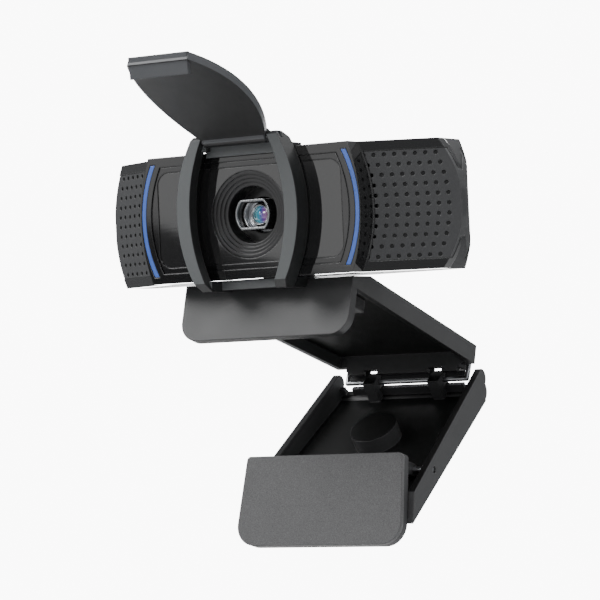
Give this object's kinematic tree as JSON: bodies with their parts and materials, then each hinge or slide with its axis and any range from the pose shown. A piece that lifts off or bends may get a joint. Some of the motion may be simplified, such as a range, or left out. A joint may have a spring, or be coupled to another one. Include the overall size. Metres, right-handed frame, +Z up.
{
  "type": "clip-on webcam",
  "caption": "Monitor-top webcam with stepped lens surround, perforated sound grilles, flip-up privacy shutter and a folding clip with a tripod thread",
  "frame": {"origin": "middle of the seat pad's underside, where the clip rests on a monitor's top edge", "axes": "+Z up, the lens looks along -Y, +X to the right as seen from the front"},
  "size_m": [0.0938, 0.1053, 0.1107],
  "materials": {
    "housing": "fine matte texture",
    "gloss_trim": "polished black",
    "smoked_pane": "polished smoked pane",
    "lens_surround": "satin, stepped",
    "blue_guide": "satin translucent blue",
    "grille": "satin, perforated",
    "silver": "machined satin",
    "lens_glass": "coated",
    "filter_glass": "coated",
    "chip": "matte",
    "board": "solder mask",
    "steel": "bright",
    "washer": "low friction plastic",
    "brass": "machined",
    "rubber": "matte",
    "led": "clear moulded",
    "connector": "moulded",
    "shutter": "satin",
    "clip_body": "satin grey-black",
    "foot_rubber": "fine speckled soft touch"
  },
  "bodies": {
    "clip": {"upper_clip": "clip_body", "neck_post": "housing", "neck_screws": "steel", "lip_pad": "rubber", "seat_pad": "rubber"},
    "head": {"rear_housing": "housing", "front_frame": "gloss_trim", "face_panel": "gloss_trim", "lens_window": "smoked_pane", "light_guide_left": "blue_guide", "light_guide_right": "blue_guide", "grille_left": "grille", "grille_right": "grille", "lens_cone": "lens_surround", "lens_rim": "silver", "lens_barrel": "silver", "front_lens": "lens_glass", "inner_lens": "lens_glass", "focus_housing": "housing", "infrared_filter": "filter_glass", "image_sensor": "chip", "main_board": "board", "inner_chassis": "housing", "shield_can": "silver", "processor_chip": "chip", "memory_chip": "chip", "board_screws": "steel", "microphone_left": "brass", "microphone_right": "brass", "microphone_boot_left": "rubber", "microphone_boot_right": "rubber", "status_leds": "led", "cable_connector": "connector", "cable_grommet": "rubber", "housing_screws": "steel", "tilt_bracket": "steel", "tilt_pin": "steel", "friction_washers": "washer", "shutter_frame": "shutter", "shutter_pin": "steel"},
    "flap": {"shutter_flap": "shutter"},
    "wire": {"hinge_wire": "steel", "hinge_cover": "housing"},
    "leg": {"leg": "clip_body", "tripod_insert": "brass", "foot_pin": "steel"},
    "foot": {"foot": "clip_body", "foot_pad": "foot_rubber"}
  },
  "joints": [
    {"name": "head_tilt", "type": "hinge", "parent": "clip", "child": "head", "pos_m": [0, -0.00585, 0.00959], "axis": [1, 0, 0], "range_deg": [-18, 0]},
    {"name": "flap_hinge", "type": "hinge", "parent": "head", "child": "flap", "pos_m": [0, -0.02434, 0.03859], "axis": [1, 0, 0], "range_deg": [-15, 110]},
    {"name": "wire_swing", "type": "hinge", "parent": "clip", "child": "wire", "pos_m": [0, 0.04856, -0.0139], "axis": [1, 0, 0], "range_deg": [-8, 25]},
    {"name": "leg_fold", "type": "hinge", "parent": "wire", "child": "leg", "pos_m": [0, 0.04696, -0.0177], "axis": [1, 0, 0], "range_deg": [-28, 50]},
    {"name": "foot_swing", "type": "hinge", "parent": "leg", "child": "foot", "pos_m": [0, 0.01866, -0.03831], "axis": [-1, 0, 0], "range_deg": [0, 60]}
  ]
}
